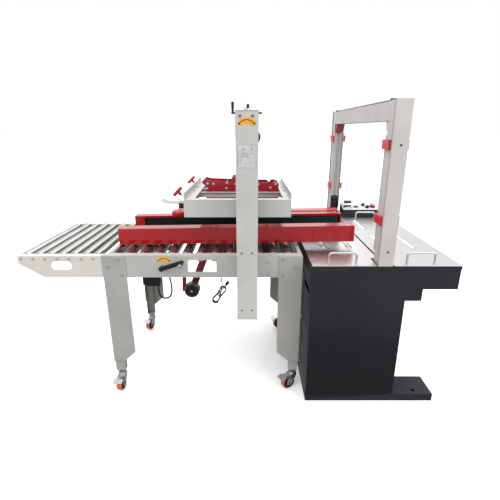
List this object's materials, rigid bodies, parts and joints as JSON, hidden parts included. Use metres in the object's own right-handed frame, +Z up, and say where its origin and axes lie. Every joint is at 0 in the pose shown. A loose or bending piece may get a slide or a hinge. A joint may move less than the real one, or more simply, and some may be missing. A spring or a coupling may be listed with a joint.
{
  "type": "carton sealing and strapping line",
  "caption": "Carton sealer with roller bed, side belts and lift-adjusted tape head, feeding an arch strapping machine with a stainless work table.",
  "frame": {"origin": "on the floor, under the middle of the whole line's length and width", "axes": "+X along the way the cartons travel, -Y towards the operator's near side, +Z up"},
  "size_m": [2.122, 1.226, 1.513],
  "materials": {
    "grey_coat": "satin powder coat",
    "beige_coat": "satin powder coat",
    "red_coat": "gloss",
    "tape_red": "gloss",
    "roller_steel": "bright zinc",
    "screw_steel": "bright",
    "bolt_steel": "zinc",
    "table_steel": "brushed",
    "cabinet_coat": "fine texture",
    "arch_coat": "satin",
    "clip_plastic": "gloss",
    "track_plastic": "satin",
    "console_black": "satin",
    "black_plastic": "satin",
    "knob_red": "gloss",
    "estop_red": "gloss",
    "button_green": "gloss",
    "button_black": "gloss",
    "belt_rubber": "matte",
    "fork_zinc": "zinc",
    "wheel_orange": "satin",
    "hub_black": "satin",
    "strap_plastic": "satin",
    "dark_steel": "oiled",
    "cord_black": "satin"
  },
  "bodies": {
    "base": {"sealer_side_rails": "grey_coat", "sealer_cross_members": "grey_coat", "infeed_side_plates": "beige_coat", "outer_legs": "grey_coat", "inner_legs": "grey_coat", "frame_bolts": "bolt_steel", "bed_rollers": "roller_steel", "mast_near": "grey_coat", "mast_far": "grey_coat", "electric_box": "black_plastic", "lower_tape_plates": "tape_red", "lower_tape_arm": "tape_red", "strapper_cabinet": "cabinet_coat", "table_lid_left": "table_steel", "arch_frame": "arch_coat", "arch_clips": "clip_plastic", "strap_track": "track_plastic", "console": "console_black", "sealing_head": "dark_steel", "motor_cable": "cord_black", "power_cord": "cord_black", "cord_hank": "cord_black", "cord_plug": "black_plastic"},
    "head": {"top_head_frame": "grey_coat", "top_tape_plates": "tape_red", "flap_guide": "grey_coat"},
    "wipe_arms": {"top_wipe_arms": "tape_red"},
    "top_tape_roll": {"top_tape_hub": "hub_black"},
    "knob_near": {"t_knob_near": "knob_red"},
    "knob_far": {"t_knob_far": "knob_red"},
    "screw_near": {"leadscrew_near": "screw_steel"},
    "screw_far": {"leadscrew_far": "screw_steel"},
    "belt_side_near": {"belt_cover_near": "red_coat", "belt_near": "belt_rubber", "belt_carriage_near": "dark_steel"},
    "belt_side_far": {"belt_cover_far": "red_coat", "belt_far": "belt_rubber", "belt_carriage_far": "dark_steel"},
    "width_crank": {"rail_crank": "screw_steel"},
    "lower_tape_roll": {"lower_tape_hub": "hub_black"},
    "strap_coil": {"strap_reel": "strap_plastic"},
    "right_lid": {"table_lid_right": "table_steel"},
    "estop": {"estop_button": "estop_red"},
    "start_key": {"start_button": "button_green"},
    "feed_key": {"feed_button": "button_black"},
    "roller_1": {"infeed_roller_1": "roller_steel"},
    "roller_2": {"infeed_roller_2": "roller_steel"},
    "roller_3": {"infeed_roller_3": "roller_steel"},
    "roller_4": {"infeed_roller_4": "roller_steel"},
    "roller_5": {"infeed_roller_5": "roller_steel"},
    "roller_6": {"infeed_roller_6": "roller_steel"},
    "roller_7": {"infeed_roller_7": "roller_steel"},
    "caster_1": {"caster_fork_1": "fork_zinc"},
    "wheel_1": {"caster_wheel_1": "wheel_orange"},
    "caster_2": {"caster_fork_2": "fork_zinc"},
    "wheel_2": {"caster_wheel_2": "wheel_orange"},
    "caster_3": {"caster_fork_3": "fork_zinc"},
    "wheel_3": {"caster_wheel_3": "wheel_orange"},
    "caster_4": {"caster_fork_4": "fork_zinc"},
    "wheel_4": {"caster_wheel_4": "wheel_orange"}
  },
  "joints": [
    {"name": "head_lift", "type": "slide", "parent": "base", "child": "head", "axis": [0, 0, 1], "range_m": [-0.08, 0.3]},
    {"name": "far_mast_crank", "type": "hinge", "parent": "base", "child": "screw_far", "pos_m": [0.064, 0.225, 1.2], "axis": [0, 0, 1], "range_deg": [-2898, 10818]},
    {"name": "near_mast_screw", "type": "hinge", "parent": "base", "child": "screw_near", "pos_m": [0.064, -0.555, 1.2], "axis": [0, 0, 1], "range_deg": [-2898, 10818]},
    {"name": "wipe_arms_lift", "type": "slide", "parent": "head", "child": "wipe_arms", "axis": [0, 0, 1], "range_m": [0, 0.045], "stiffness_N_per_m": 700, "springref_m": -0.01},
    {"name": "top_tape_spin", "type": "hinge", "parent": "head", "child": "top_tape_roll", "pos_m": [0.091, -0.165, 1.312], "axis": [0, 1, 0], "continuous": true},
    {"name": "near_knob_turn", "type": "hinge", "parent": "head", "child": "knob_near", "pos_m": [-0.261, -0.387, 1.043], "axis": [-0.7071, 0, 0.7071], "continuous": true},
    {"name": "far_knob_turn", "type": "hinge", "parent": "head", "child": "knob_far", "pos_m": [-0.261, 0.057, 1.043], "axis": [-0.7071, 0, 0.7071], "continuous": true},
    {"name": "near_belt_width", "type": "slide", "parent": "base", "child": "belt_side_near", "axis": [0, -1, 0], "range_m": [-0.025, 0.125]},
    {"name": "far_belt_width", "type": "slide", "parent": "base", "child": "belt_side_far", "axis": [0, 1, 0], "range_m": [-0.0251, 0.1251]},
    {"name": "width_crank_turn", "type": "hinge", "parent": "base", "child": "width_crank", "pos_m": [-0.352, -0.505, 0.71], "axis": [0, 1, 0], "range_deg": [-918, 4518]},
    {"name": "lower_tape_spin", "type": "hinge", "parent": "base", "child": "lower_tape_roll", "pos_m": [-0.27, -0.165, 0.437], "axis": [0, 1, 0], "continuous": true},
    {"name": "strap_coil_spin", "type": "hinge", "parent": "base", "child": "strap_coil", "pos_m": [0.59, 0.1, 0.3], "axis": [0, 1, 0], "continuous": true},
    {"name": "right_lid_lift", "type": "slide", "parent": "base", "child": "right_lid", "axis": [0, 0, 1], "range_m": [0, 0.16]},
    {"name": "estop_press", "type": "slide", "parent": "base", "child": "estop", "axis": [0, -0.2084, 0.978], "range_m": [-0.004, 0], "stiffness_N_per_m": 900, "springref_m": 0.002},
    {"name": "start_press", "type": "slide", "parent": "base", "child": "start_key", "axis": [0, -0.2084, 0.978], "range_m": [-0.003, 0], "stiffness_N_per_m": 900, "springref_m": 0.002},
    {"name": "feed_press", "type": "slide", "parent": "base", "child": "feed_key", "axis": [0, -0.2084, 0.978], "range_m": [-0.003, 0], "stiffness_N_per_m": 900, "springref_m": 0.002},
    {"name": "roller_1_spin", "type": "hinge", "parent": "base", "child": "roller_1", "pos_m": [-1.043, -0.165, 0.752], "axis": [0, 1, 0], "continuous": true},
    {"name": "roller_2_spin", "type": "hinge", "parent": "base", "child": "roller_2", "pos_m": [-0.984, -0.165, 0.752], "axis": [0, 1, 0], "continuous": true},
    {"name": "roller_3_spin", "type": "hinge", "parent": "base", "child": "roller_3", "pos_m": [-0.925, -0.165, 0.752], "axis": [0, 1, 0], "continuous": true},
    {"name": "roller_4_spin", "type": "hinge", "parent": "base", "child": "roller_4", "pos_m": [-0.866, -0.165, 0.752], "axis": [0, 1, 0], "continuous": true},
    {"name": "roller_5_spin", "type": "hinge", "parent": "base", "child": "roller_5", "pos_m": [-0.807, -0.165, 0.752], "axis": [0, 1, 0], "continuous": true},
    {"name": "roller_6_spin", "type": "hinge", "parent": "base", "child": "roller_6", "pos_m": [-0.748, -0.165, 0.752], "axis": [0, 1, 0], "continuous": true},
    {"name": "roller_7_spin", "type": "hinge", "parent": "base", "child": "roller_7", "pos_m": [-0.689, -0.165, 0.752], "axis": [0, 1, 0], "continuous": true},
    {"name": "caster_1_swivel", "type": "hinge", "parent": "base", "child": "caster_1", "pos_m": [-0.622, -0.485, 0.1], "axis": [0, 0, 1], "continuous": true},
    {"name": "wheel_1_roll", "type": "hinge", "parent": "caster_1", "child": "wheel_1", "pos_m": [-0.62444, -0.51289, 0.0375], "axis": [0.9962, -0.0872, 0], "continuous": true},
    {"name": "caster_2_swivel", "type": "hinge", "parent": "base", "child": "caster_2", "pos_m": [0.308, -0.485, 0.1], "axis": [0, 0, 1], "range_deg": [-140, 80]},
    {"name": "wheel_2_roll", "type": "hinge", "parent": "caster_2", "child": "wheel_2", "pos_m": [0.28375, -0.499, 0.0375], "axis": [0.5, -0.866, 0], "continuous": true},
    {"name": "caster_3_swivel", "type": "hinge", "parent": "base", "child": "caster_3", "pos_m": [-0.622, 0.155, 0.1], "axis": [0, 0, 1], "continuous": true},
    {"name": "wheel_3_roll", "type": "hinge", "parent": "caster_3", "child": "wheel_3", "pos_m": [-0.63158, 0.12869, 0.0375], "axis": [0.9397, -0.342, 0], "continuous": true},
    {"name": "caster_4_swivel", "type": "hinge", "parent": "base", "child": "caster_4", "pos_m": [0.308, 0.155, 0.1], "axis": [0, 0, 1], "range_deg": [-120, 100]},
    {"name": "wheel_4_roll", "type": "hinge", "parent": "caster_4", "child": "wheel_4", "pos_m": [0.28042, 0.15014, 0.0375], "axis": [0.1736, -0.9848, 0], "continuous": true}
  ],
  "couplings": [
    {"joint": "far_mast_crank", "follows": "head_lift", "rad_per_m": 628.32},
    {"joint": "near_mast_screw", "follows": "head_lift", "rad_per_m": 628.32},
    {"joint": "far_belt_width", "follows": "near_belt_width", "ratio": 1},
    {"joint": "width_crank_turn", "follows": "near_belt_width", "rad_per_m": 628.32}
  ]
}
